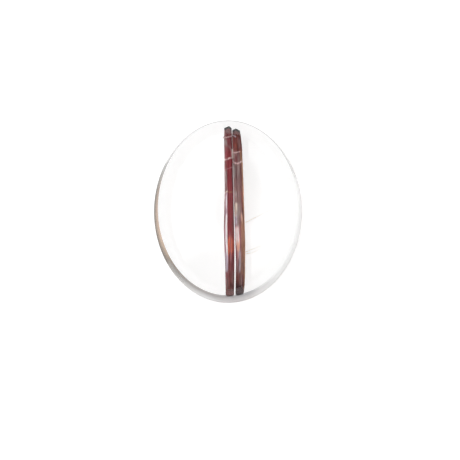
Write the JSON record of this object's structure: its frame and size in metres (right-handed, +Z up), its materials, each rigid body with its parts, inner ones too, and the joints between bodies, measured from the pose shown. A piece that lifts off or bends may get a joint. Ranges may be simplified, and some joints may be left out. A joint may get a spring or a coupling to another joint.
{
  "type": "rutilated quartz cabochon",
  "caption": "Clear oval quartz cabochon, a polished dome on a flat back, holding dark red rutile crystals that lie side by side along its length and a few hair-fine golden needles.",
  "frame": {"origin": "under the middle of the flat back, on the plane that the stone rests on", "axes": "+Z up through the dome, +Y along the length towards the crystals' tips, +X to the side that the needles point to"},
  "size_m": [0.016, 0.02, 0.0068],
  "materials": {
    "quartz": "clear, polished",
    "rutile": "dark red, striated, adamantine",
    "rutile_needle": "golden, hair-fine"
  },
  "bodies": {
    "root": {"quartz_cabochon": "quartz", "rutile_crystal_left": "rutile", "rutile_crystal_right": "rutile", "rutile_needle_upper": "rutile_needle", "rutile_needle_lower": "rutile_needle", "rutile_needle_short": "rutile_needle"}
  },
  "joints": []
}
